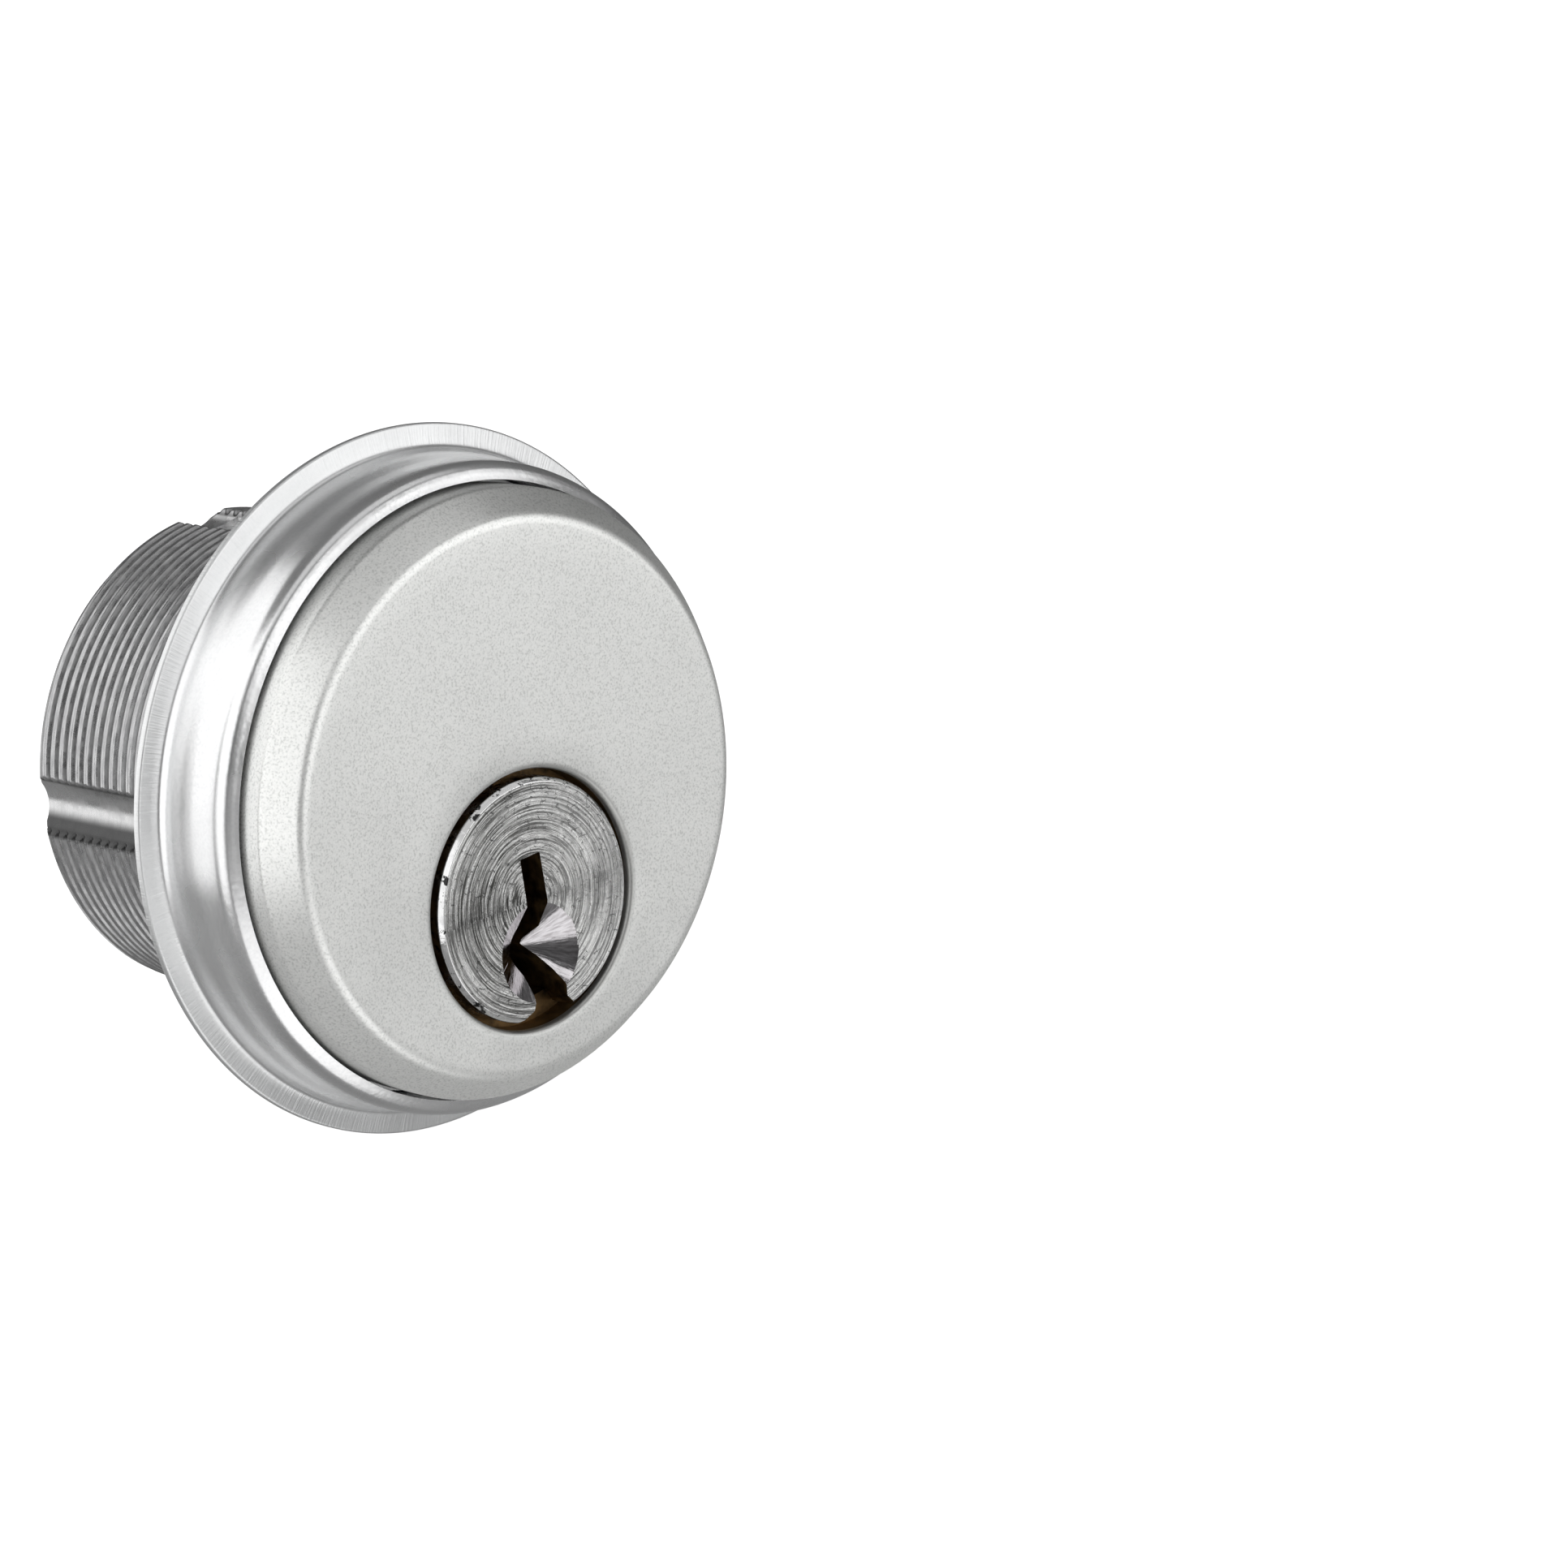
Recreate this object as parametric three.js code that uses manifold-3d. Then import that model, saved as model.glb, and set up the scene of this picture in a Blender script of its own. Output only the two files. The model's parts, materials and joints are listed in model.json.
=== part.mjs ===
// A keyed mortise lock cylinder with its trim collar, as used to work a deadbolt.
// Millimetres. The face of the lock looks towards -Y, the thread runs into the
// door towards +Y, and +Z is up. The origin is the centre of the collar's back
// face, where the collar meets the door, on the axis of the thread.

import * as THREE from 'three';
import { mergeVertices } from 'three/addons/utils/BufferGeometryUtils.js';
import Module from 'manifold-3d';

const wasm = await Module();
wasm.setup();

// ---------------------------------------------------------------- driving dimensions

const INCH = 25.4;

// Threaded body, 1-5/32 inch by 32 threads per inch, 7/8 inch long under the head.
const threadRadius = 14.6;
const bodyLength = 0.875 * INCH;
const bodyChamfer = 0.6;
const setScrewGrooveRadius = 2.2;
const setScrewGrooveDepth = 1.0;

// Head: a short cylindrical wall, a chamfer, then a flat face.
const headRadius = 18.1;
const headFaceRadius = 16.55;
const headThickness = 5.1;
const headChamferDepth = 2.05;
const headBackY = -4.4;
const edgeRadius = 0.5;

// Plug, below the thread's axis.
const plugAxisZ = -6.2;
const plugRadius = 6.35;
const plugRunningGap = 0.07;
const plugRimRadius = 7.3;
const plugRimThickness = 2.0;
const plugRimBevel = 0.4;
const plugProud = 0.2;
const plugPocketRadius = 7.77;
const plugPocketDepth = 1.9;
const leadInRadius = 3.1;
const leadInDepth = 2.2;

// Pin stacks, counted from the face.
const pinCount = 5;
const pinPitch = 0.15 * INCH;
const firstPinY = -1.6;
const pinRadius = 1.42;
const chamberRadius = 1.5;
const keyPinLengths = [5.1, 6.1, 4.3, 5.6, 4.7];
const keyPinTipRadius = 0.5;
const keyPinTipHeight = 0.9;
const keyPinDome = 0.25;
const keyPinTopGap = 0.03;
const driverLength = 5.0;
const driverEdge = 0.2;
const driverGap = 0.08;
const plugChamberFloor = -1.2;

// Springs over the driver pins.
const springOuterRadius = 1.2;
const springInnerRadius = 0.85;
const springEndGap = 0.05;

// Strip that closes the pin chambers.
const coverWidth = 3.2;
const coverThickness = 0.95;
const coverTopZ = 13.6;
const coverFit = 0.05;
const coverEndMargin = 1.3;

// Trim collar and the wave washer inside it.
const collarOuterRadius = 21.2;
const collarInnerRadius = 18.6;
const collarLipRadius = 18.32;
const collarHoleRadius = 14.9;
const collarFloor = 1.0;
const collarHeight = 6.0;
const washerInnerRadius = 15.3;
const washerOuterRadius = 18.0;
const washerThickness = 0.5;
const washerWaves = 3;
const washerEndGap = 0.05;

// Cam and its screws, behind the body.
const camGap = 0.25;
const camThickness = 2.4;
const camHubRadius = 7.4;
const camTipRadius = 3.2;
const camTipZ = 8.4;
const screwSpacing = 8.2;
const screwRadius = 1.15;
const screwHeadRadius = 2.2;
const screwHeadHeight = 1.1;
const screwLength = 5.5;
const screwFit = 0.12;
const screwSlotWidth = 0.6;
const screwSlotDepth = 0.5;

// How finely round shapes are cut.
const roundSteps = 72;
const smallSteps = 20;
const filletSteps = 4;
const cutMargin = 1;

// ---------------------------------------------------------------- worked-out places

const headFaceY = headBackY - headThickness;
const chamferStartY = headFaceY + headChamferDepth;
const bodyBackY = headBackY + bodyLength;
const plugFaceY = headFaceY - plugProud;
const plugBoreRadius = plugRadius + plugRunningGap;
const plugTailY = bodyBackY + camGap / 2;
const camFrontY = bodyBackY + camGap;
const camBackY = camFrontY + camThickness;
const plugTopZ = plugAxisZ + plugRadius;
const driverBottomZ = plugAxisZ + plugBoreRadius + driverGap;
const driverTopZ = driverBottomZ + driverLength;
const coverBottomZ = coverTopZ - coverThickness;
const pinYs = Array.from({ length: pinCount }, (_, i) => firstPinY + i * pinPitch);
const lastPinY = pinYs[pinCount - 1];
const coverFrontY = firstPinY - chamberRadius - coverEndMargin;
const coverBackY = lastPinY + chamberRadius + coverEndMargin;

// ---------------------------------------------------------------- materials

function material(color, roughness, metalness) {
  return new THREE.MeshStandardMaterial({ color, roughness, metalness });
}

const paintedHead = material('#c9cbc8', 0.45, 0.6);
const satinAluminium = material('#c4c7c8', 0.35, 0.9);
const polishedPlug = material('#b9babb', 0.2, 1.0);
const brass = material('#b08d4a', 0.3, 1.0);
const springSteel = material('#9a9da1', 0.35, 1.0);
const zincSteel = material('#a7aaad', 0.4, 1.0);

// ---------------------------------------------------------------- solid helpers

// A three.js geometry as a manifold solid: only positions count, shared vertices are one.
function solid(geometry) {
  const bare = geometry.clone();
  bare.deleteAttribute('normal');
  bare.deleteAttribute('uv');
  const merged = mergeVertices(bare, 1e-5);
  const mesh = new wasm.Mesh({
    numProp: 3,
    vertProperties: new Float32Array(merged.attributes.position.array),
    triVerts: new Uint32Array(merged.index.array),
  });
  return new wasm.Manifold(mesh);
}

function geometryOf(shape) {
  const mesh = shape.getMesh();
  const geometry = new THREE.BufferGeometry();
  geometry.setAttribute('position', new THREE.BufferAttribute(mesh.vertProperties, 3));
  geometry.setIndex(new THREE.BufferAttribute(mesh.triVerts, 1));
  geometry.computeVertexNormals();
  return geometry;
}

function cut(body, tools) {
  return tools.reduce((left, tool) => left.subtract(tool), body);
}

// A turned shape about a line along +Y through (0, z). The profile is [radius, y] pairs,
// and its outside runs from low y to high y.
function turnedY(profile, steps, z = 0) {
  const points = profile.map(([r, y]) => new THREE.Vector2(r, y));
  const geometry = new THREE.LatheGeometry(points, steps);
  geometry.translate(0, 0, z);
  return solid(geometry);
}

// A turned shape about a line along +Z through (0, y). The profile is [radius, z] pairs,
// and its outside runs from low z to high z.
function turnedZ(profile, steps, y) {
  const points = profile.map(([r, z]) => new THREE.Vector2(r, z));
  const geometry = new THREE.LatheGeometry(points, steps);
  geometry.rotateX(Math.PI / 2);
  geometry.translate(0, y, 0);
  return solid(geometry);
}

function rodY(radius, y0, y1, x, z, steps = smallSteps) {
  const geometry = new THREE.CylinderGeometry(radius, radius, y1 - y0, steps);
  geometry.translate(x, (y0 + y1) / 2, z);
  return solid(geometry);
}

function rodZ(radius, z0, z1, y, steps = smallSteps) {
  const geometry = new THREE.CylinderGeometry(radius, radius, z1 - z0, steps);
  geometry.rotateX(Math.PI / 2);
  geometry.translate(0, y, (z0 + z1) / 2);
  return solid(geometry);
}

function block(x0, x1, y0, y1, z0, z1) {
  const geometry = new THREE.BoxGeometry(x1 - x0, y1 - y0, z1 - z0);
  geometry.translate((x0 + x1) / 2, (y0 + y1) / 2, (z0 + z1) / 2);
  return solid(geometry);
}

// An outline in the X-Z plane, [x, z] pairs, carried from y0 to y1.
function extrudedY(outline, y0, y1) {
  const shape = new THREE.Shape(outline.map(([x, z]) => new THREE.Vector2(x, z)));
  const geometry = new THREE.ExtrudeGeometry(shape, { depth: y1 - y0, bevelEnabled: false });
  geometry.rotateX(Math.PI / 2);
  geometry.translate(0, y1, 0);
  return solid(geometry);
}

// Points of an arc between two angles in degrees, centre and radius given.
function arc(centreA, centreB, radius, fromDegrees, toDegrees, steps) {
  return Array.from({ length: steps + 1 }, (_, i) => {
    const angle = THREE.MathUtils.degToRad(fromDegrees + ((toDegrees - fromDegrees) * i) / steps);
    return [centreA + radius * Math.cos(angle), centreB + radius * Math.sin(angle)];
  });
}

const model = new THREE.Group();

function addPart(name, shape, look) {
  const mesh = new THREE.Mesh(geometryOf(shape), look);
  mesh.name = name;
  model.add(mesh);
}

// ---------------------------------------------------------------- cylinder shell

// The smooth groove that a set screw in the lock case bites into, along the whole thread.
function threadGroove(degrees) {
  const centreRadius = threadRadius - setScrewGrooveDepth + setScrewGrooveRadius;
  const angle = THREE.MathUtils.degToRad(degrees);
  const x = centreRadius * Math.cos(angle);
  const z = centreRadius * Math.sin(angle);
  return rodY(setScrewGrooveRadius, headBackY, bodyBackY + cutMargin, x, z, 2 * smallSteps);
}

function cylinderShell() {
  const profile = [
    [0, headFaceY],
    [headFaceRadius - edgeRadius, headFaceY],
    [headFaceRadius, headFaceY + edgeRadius / 4],
    [headRadius - edgeRadius / 4, chamferStartY - edgeRadius / 4],
    [headRadius, chamferStartY + edgeRadius / 4],
    [headRadius, headBackY],
    [threadRadius, headBackY],
    [threadRadius, bodyBackY - bodyChamfer],
    [threadRadius - bodyChamfer, bodyBackY],
    [0, bodyBackY],
  ];
  const body = turnedY(profile, roundSteps);
  const bore = rodY(plugBoreRadius, headFaceY - cutMargin, bodyBackY + cutMargin, 0, plugAxisZ, roundSteps);
  const pocketY = headFaceY + plugPocketDepth;
  const pocket = rodY(plugPocketRadius, headFaceY - cutMargin, pocketY, 0, plugAxisZ, roundSteps);
  const chambers = pinYs.map((y) => rodZ(chamberRadius, plugAxisZ, coverTopZ, y));
  const coverSlot = block(
    -coverWidth / 2 - coverFit,
    coverWidth / 2 + coverFit,
    coverFrontY - coverFit,
    coverBackY + coverFit,
    coverBottomZ - coverFit,
    threadRadius + cutMargin,
  );
  const grooves = [0, 90, 180].map(threadGroove);
  return cut(body, [bore, pocket, ...chambers, coverSlot, ...grooves]);
}

// ---------------------------------------------------------------- pin chamber cover

function pinChamberCover() {
  return block(-coverWidth / 2, coverWidth / 2, coverFrontY, coverBackY, coverBottomZ, coverTopZ);
}

// ---------------------------------------------------------------- plug

// The keyway's section seen from the face: a narrow slot at the top, one pointed ward from
// the right, and a foot that flares where it runs out through the bottom of the rim.
function keyway() {
  const footZ = -plugRimRadius - cutMargin;
  const section = [
    [-0.68, 2.65],
    [-0.53, -0.15],
    [-0.75, -1.6],
    [-1.3, -2.4],
    [-1.3, -3.3],
    [-0.65, -4.6],
    [-0.65, -5.7],
    [-1.0, -6.5],
    [-2.3, -7.0],
    [-2.3, footZ],
    [2.1, footZ],
    [2.1, -6.8],
    [1.65, -6.3],
    [1.7, -5.5],
    [1.33, -4.6],
    [0.85, -3.8],
    [0.18, -2.95],
    [0.18, -2.65],
    [1.0, -1.95],
    [1.07, -0.2],
    [0.88, 2.75],
  ];
  const placed = section.map(([x, z]) => [x, z + plugAxisZ]);
  return extrudedY(placed, plugFaceY - cutMargin, plugTailY + cutMargin);
}

// The cone that leads the key in. Its rim touches the plug's axis at its top.
function keyLeadIn() {
  const rimY = plugFaceY - cutMargin;
  const rimRadius = leadInRadius * (1 + cutMargin / leadInDepth);
  const profile = [
    [0, rimY],
    [rimRadius, rimY],
    [0, plugFaceY + leadInDepth],
  ];
  return turnedY(profile, 2 * smallSteps, plugAxisZ - leadInRadius);
}

function screwXs() {
  return [-screwSpacing / 2, screwSpacing / 2];
}

function plug() {
  const rimBackY = plugFaceY + plugRimThickness;
  const profile = [
    [0, plugFaceY],
    [plugRimRadius - plugRimBevel, plugFaceY],
    [plugRimRadius, plugFaceY + plugRimBevel],
    [plugRimRadius, rimBackY],
    [plugRadius, rimBackY],
    [plugRadius, plugTailY],
    [0, plugTailY],
  ];
  const body = turnedY(profile, roundSteps, plugAxisZ);
  const floorZ = plugAxisZ + plugChamberFloor;
  const chambers = pinYs.map((y) => rodZ(chamberRadius, floorZ, plugTopZ + cutMargin, y));
  const holeY = plugTailY - screwLength;
  const holes = screwXs().map((x) =>
    rodY(screwRadius + screwFit, holeY, plugTailY + cutMargin, x, plugAxisZ));
  return cut(body, [keyway(), keyLeadIn(), ...chambers, ...holes]);
}

// ---------------------------------------------------------------- pins and springs

// A key pin: domed to follow the plug's surface, with a cone that rides on the key.
function keyPin(index) {
  const topZ = plugTopZ - keyPinTopGap;
  const tipZ = topZ - keyPinLengths[index];
  const profile = [
    [0, tipZ],
    [keyPinTipRadius, tipZ],
    [pinRadius, tipZ + keyPinTipHeight],
    [pinRadius, topZ - keyPinDome],
    [pinRadius / 2, topZ - keyPinDome / 4],
    [0, topZ],
  ];
  return turnedZ(profile, smallSteps, pinYs[index]);
}

function driverPin(index) {
  const profile = [
    [0, driverBottomZ],
    [pinRadius - driverEdge, driverBottomZ],
    [pinRadius, driverBottomZ + driverEdge],
    [pinRadius, driverTopZ - driverEdge],
    [pinRadius - driverEdge, driverTopZ],
    [0, driverTopZ],
  ];
  return turnedZ(profile, smallSteps, pinYs[index]);
}

// The envelope of a coil spring: a tube as wide as the coil, with the wire as its wall.
function pinSpring(index) {
  const bottomZ = driverTopZ + springEndGap;
  const topZ = coverBottomZ - springEndGap;
  const profile = [
    [springInnerRadius, bottomZ],
    [springOuterRadius, bottomZ],
    [springOuterRadius, topZ],
    [springInnerRadius, topZ],
    [springInnerRadius, bottomZ],
  ];
  return turnedZ(profile, smallSteps, pinYs[index]);
}

// ---------------------------------------------------------------- trim collar

// The collar's outside from its lip to the door: a nose that turns in towards the head, a
// wall with one soft step, a hollow, and a thin flange that dishes back slightly.
function trimCollar() {
  const outside = [
    [collarLipRadius, -collarHeight],
    [18.5, 0.06 - collarHeight],
    [18.95, 0.3 - collarHeight],
    [19.25, 0.6 - collarHeight],
    [19.35, 1.0 - collarHeight],
    [19.36, -4.0],
    [19.38, -3.2],
    [19.46, -2.5],
    [19.54, -1.7],
    [19.62, -1.05],
    [19.9, -0.66],
    [collarOuterRadius - 0.15, -0.46],
    [collarOuterRadius, -0.32],
    [collarOuterRadius, 0],
  ];
  const inside = [
    [collarHoleRadius, 0],
    [collarHoleRadius, -collarFloor],
    [collarInnerRadius, -collarFloor],
  ];
  return turnedY([...outside, ...inside, outside[0]], roundSteps);
}

// ---------------------------------------------------------------- wave washer

// A flat ring bent into waves, held between the collar's floor and the head. Its section
// is a rectangle that rises and falls as it goes round.
function waveWasher() {
  const frontY = headBackY + washerEndGap;
  const backY = -collarFloor - washerEndGap;
  const middleY = (frontY + backY) / 2;
  const amplitude = (backY - frontY - washerThickness) / 2;
  const section = [
    [washerInnerRadius, -washerThickness / 2],
    [washerOuterRadius, -washerThickness / 2],
    [washerOuterRadius, washerThickness / 2],
    [washerInnerRadius, washerThickness / 2],
  ];
  const corners = section.length;
  const positions = [];
  const triangles = [];
  for (let step = 0; step < roundSteps; step += 1) {
    const angle = (2 * Math.PI * step) / roundSteps;
    const waveY = middleY + amplitude * Math.sin(washerWaves * angle);
    for (const [radius, offset] of section) {
      positions.push(radius * Math.cos(angle), waveY + offset, radius * Math.sin(angle));
    }
    const here = step * corners;
    const next = ((step + 1) % roundSteps) * corners;
    for (let corner = 0; corner < corners; corner += 1) {
      const after = (corner + 1) % corners;
      triangles.push(here + corner, here + after, next + after);
      triangles.push(here + corner, next + after, next + corner);
    }
  }
  const geometry = new THREE.BufferGeometry();
  geometry.setAttribute('position', new THREE.BufferAttribute(new Float32Array(positions), 3));
  geometry.setIndex(triangles);
  return solid(geometry);
}

// ---------------------------------------------------------------- cam and screws

// A round hub on the plug's axis joined by straight tangents to a smaller round tip above.
function camOutline() {
  const reach = camTipZ - plugAxisZ;
  const lean = THREE.MathUtils.radToDeg(Math.asin((camHubRadius - camTipRadius) / reach));
  const hub = arc(0, plugAxisZ, camHubRadius, 180 - lean, 360 + lean, 2 * smallSteps);
  const tip = arc(0, camTipZ, camTipRadius, lean, 180 - lean, smallSteps);
  return [...hub, ...tip];
}

// The cone of a screw's head, widened by a gap.
function screwHead(gap) {
  const profile = [
    [0, camBackY - screwHeadHeight],
    [screwRadius + gap, camBackY - screwHeadHeight],
    [screwHeadRadius + 2 * gap, camBackY + gap],
    [0, camBackY + gap],
  ];
  return turnedY(profile, smallSteps, plugAxisZ);
}

function cam() {
  const plate = extrudedY(camOutline(), camFrontY, camBackY);
  const cuts = screwXs().flatMap((x) => [
    rodY(screwRadius + screwFit, camFrontY - cutMargin, camBackY, x, plugAxisZ),
    screwHead(screwFit).translate([x, 0, 0]),
  ]);
  return cut(plate, cuts);
}

function camScrew(x) {
  const tipY = plugTailY - screwLength + screwFit;
  const shank = rodY(screwRadius, tipY, camBackY - screwHeadHeight / 2, 0, plugAxisZ);
  const slot = block(
    -screwHeadRadius - cutMargin,
    screwHeadRadius + cutMargin,
    camBackY - screwSlotDepth,
    camBackY + cutMargin,
    plugAxisZ - screwSlotWidth / 2,
    plugAxisZ + screwSlotWidth / 2,
  );
  return screwHead(0).add(shank).subtract(slot).translate([x, 0, 0]);
}

// ---------------------------------------------------------------- the whole lock

addPart('cylinder_shell', cylinderShell(), paintedHead);
addPart('pin_chamber_cover', pinChamberCover(), brass);
addPart('plug', plug(), polishedPlug);
for (let index = 0; index < pinCount; index += 1) {
  const number = index + 1;
  addPart(`key_pin_${number}`, keyPin(index), brass);
  addPart(`driver_pin_${number}`, driverPin(index), brass);
  addPart(`pin_spring_${number}`, pinSpring(index), springSteel);
}
addPart('trim_collar', trimCollar(), satinAluminium);
addPart('collar_spring', waveWasher(), springSteel);
addPart('cam', cam(), zincSteel);
screwXs().forEach((x, index) => addPart(`cam_screw_${index + 1}`, camScrew(x), zincSteel));

export default model;
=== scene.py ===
"""A keyed mortise lock cylinder in its trim collar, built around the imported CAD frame.

Lengths are in metres, in the frame's axes: the lock's face looks towards -Y, its thread runs
into the door towards +Y, and +Z is up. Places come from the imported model's boxes and joints.
"""

import json
import math

import bmesh
import bpy
import numpy as np
from mathutils import Matrix, Vector


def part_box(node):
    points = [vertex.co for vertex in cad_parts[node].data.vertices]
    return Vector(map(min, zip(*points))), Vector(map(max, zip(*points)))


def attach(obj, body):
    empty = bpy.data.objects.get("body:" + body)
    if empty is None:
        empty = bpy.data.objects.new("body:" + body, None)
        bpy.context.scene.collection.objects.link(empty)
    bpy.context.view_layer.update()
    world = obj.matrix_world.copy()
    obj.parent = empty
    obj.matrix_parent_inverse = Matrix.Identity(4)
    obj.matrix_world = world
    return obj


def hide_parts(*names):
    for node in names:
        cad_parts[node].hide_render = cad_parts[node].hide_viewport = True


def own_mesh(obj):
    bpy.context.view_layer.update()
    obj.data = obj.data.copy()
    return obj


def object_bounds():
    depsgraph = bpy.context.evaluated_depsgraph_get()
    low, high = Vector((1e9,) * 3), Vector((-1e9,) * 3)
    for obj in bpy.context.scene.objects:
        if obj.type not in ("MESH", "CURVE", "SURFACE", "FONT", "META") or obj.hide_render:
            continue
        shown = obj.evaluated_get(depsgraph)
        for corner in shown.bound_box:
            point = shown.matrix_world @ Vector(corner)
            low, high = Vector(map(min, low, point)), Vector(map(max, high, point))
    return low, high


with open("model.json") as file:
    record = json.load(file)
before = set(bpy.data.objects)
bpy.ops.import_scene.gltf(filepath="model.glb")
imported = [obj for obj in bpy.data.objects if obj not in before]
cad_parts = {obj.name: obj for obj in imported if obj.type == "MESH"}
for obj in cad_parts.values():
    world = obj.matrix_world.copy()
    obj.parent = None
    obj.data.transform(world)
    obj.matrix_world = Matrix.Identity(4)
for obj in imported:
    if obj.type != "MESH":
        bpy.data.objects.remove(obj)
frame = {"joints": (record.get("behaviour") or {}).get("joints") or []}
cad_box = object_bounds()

MM = 0.001
INCH = 25.4 * MM
WELD = 0.0005 * MM

# Edges that turn by more than these angles, in degrees, stay crisp.
SHARP = 35.0
PLUG_SHARP = 25.0
SHELL_SHARP = 50.0
SMOOTH_SHARP = 60.0

# ------------------------------------------------------------------ places from the frame


def joint(name):
    """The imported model's joint of that name."""
    return next(j for j in frame["joints"] if j["name"] == name)


shell_low, shell_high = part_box("cylinder_shell")
collar_low, collar_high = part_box("trim_collar")
plug_low, plug_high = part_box("plug")
cam_low, cam_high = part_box("cam")
cover_low, cover_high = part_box("pin_chamber_cover")
washer_low, washer_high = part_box("collar_spring")

PLUG_Z = joint("plug_turn")["pos_m"][2]
FACE_Y = shell_low.y
BACK_Y = shell_high.y
HEAD_RADIUS = shell_high.x

PIN_COUNT = 5
PIN_YS = [sum(c.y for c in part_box(f"key_pin_{i + 1}")) / 2 for i in range(PIN_COUNT)]

# ------------------------------------------------------------------ sizes the boxes don't say

# The head: a flat face, a chamfer and a short wall in front of the threaded body.
HEAD_BACK_Y = FACE_Y + 5.1 * MM
FACE_RADIUS = 16.55 * MM
CHAMFER_DEPTH = 2.05 * MM

# The plug in its bore, and its wider rim in the pocket. Past PLUG_EDGE the rim has a painted
# highlight and chips.
PLUG_BORE = 6.42 * MM
PLUG_RADIUS = 6.35 * MM
RIM_THICKNESS = 2.0 * MM
PLUG_EDGE = 7.0 * MM
POCKET_RADIUS = 7.77 * MM
POCKET_DEPTH = 1.9 * MM
POCKET_EDGE = 0.35 * MM

# Where the collar's finish changes: outside this radius, and in front of this place.
FLANGE_INNER = 19.9 * MM
NOSE_Y = -5.15 * MM

# The body's thread, and the smooth lengthwise grooves across it.
THREAD_RADIUS = 14.6 * MM
THREAD_PITCH = INCH / 32
THREAD_DEPTH = 0.42 * THREAD_PITCH
THREAD_START_Y = -1.2 * MM
THREAD_FADE = 1.0 * MM
# The thread's section over one pitch: (share of the pitch, share of the depth).
THREAD_FORM = [(0.0, 0.04), (0.06, 0.0), (0.3, 0.0), (0.36, 0.05), (0.42, 0.22), (0.56, 0.8),
               (0.62, 0.97), (0.72, 0.97), (0.78, 0.8), (0.93, 0.2)]
BACK_CHAMFER = 0.6 * MM
GROOVE_RADIUS = 2.2 * MM
GROOVE_DEPTH = 1.0 * MM
GROOVE_ANGLES = [math.radians(a) for a in (0, 90, 180)]
GROOVE_SPREAD = 9.0  # degrees to each side where the mesh is fine
COVER_GAP = 0.02 * MM

# The plug's inside: pin chambers, and the cone that guides the key.
CHAMBER_RADIUS = 1.5 * MM
CHAMBER_FLOOR = -1.2 * MM
LEAD_IN_RADIUS = 3.1 * MM
LEAD_IN_DEPTH = 2.2 * MM

# The cam's screws and their holes in the cam and the plug.
SCREW_RADIUS = 1.15 * MM
SCREW_HEAD_RADIUS = 2.2 * MM
SCREW_HEAD_HEIGHT = 1.1 * MM
SCREW_HOLE_GAP = 0.12 * MM
SCREW_HOLE_RADIUS = SCREW_RADIUS + SCREW_HOLE_GAP
SCREW_HOLE_DEPTH = 5.5 * MM
SCREW_XS = [sum(c.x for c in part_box(f"cam_screw_{i}")) / 2 for i in (1, 2)]

# ------------------------------------------------------------------ mesh helpers


def add_piece(name, vertices, faces, materials, sharp=SHARP, face_materials=None):
    """A mesh object, smooth except at edges sharper than the angle in degrees."""
    mesh = bpy.data.meshes.new(name)
    mesh.from_pydata([tuple(v) for v in vertices], [], faces)
    for material in materials:
        mesh.materials.append(material)
    if face_materials is not None:
        mesh.polygons.foreach_set("material_index", face_materials)
    finish_mesh(mesh, sharp)
    piece = bpy.data.objects.new(name, mesh)
    bpy.context.scene.collection.objects.link(piece)
    return piece


def finish_mesh(mesh, sharp):
    """Smooth shading, broken at edges sharper than the angle."""
    mesh.polygons.foreach_set("use_smooth", [True] * len(mesh.polygons))
    mesh.set_sharp_from_angle(angle=math.radians(sharp))
    mesh.update()


def seat(piece, body, slot, *nodes):
    """Ties a finished piece to its body and hides the CAD nodes it stands for. The slot is not
    used.
    """
    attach(piece, body)
    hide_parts(*nodes)
    return piece


def modified(piece, sharp=SHARP):
    """Bakes the piece's modifiers into its mesh."""
    depsgraph = bpy.context.evaluated_depsgraph_get()
    mesh = bpy.data.meshes.new_from_object(piece.evaluated_get(depsgraph))
    mesh.name = piece.name
    piece.modifiers.clear()
    piece.data = mesh
    finish_mesh(mesh, sharp)


def carve(piece, cutters, sharp=SHARP):
    """Cuts the cutters out of the piece. The cut faces keep each cutter's material."""
    for cutter in cutters:
        cut = piece.modifiers.new(cutter.name, "BOOLEAN")
        cut.operation = "DIFFERENCE"
        cut.solver = "EXACT"
        cut.material_mode = "TRANSFER"
        cut.object = cutter
    modified(piece, sharp)
    for cutter in cutters:
        bpy.data.objects.remove(cutter)


def soften(piece, width, segments):
    """Rounds the piece's sharp edges."""
    bevel = piece.modifiers.new("soft edges", "BEVEL")
    bevel.width = width
    bevel.segments = segments
    bevel.limit_method = "ANGLE"
    bevel.angle_limit = math.radians(SHARP)
    modified(piece)


def lofted(loops, closed):
    """Vertices and quads of a skin over loops that all have the same number of points."""
    count = len(loops[0])
    vertices = np.concatenate(loops)
    spans = len(loops) if closed else len(loops) - 1
    faces = []
    for i in range(spans):
        here, there = i * count, (i + 1) % len(loops) * count
        for k in range(count):
            after = (k + 1) % count
            faces.append((here + k, there + k, there + after, here + after))
    return vertices, faces


def even_angles(steps):
    """Angles that go once round, without the last one that is the first again."""
    return np.linspace(0, 2 * math.pi, steps, endpoint=False)


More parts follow.
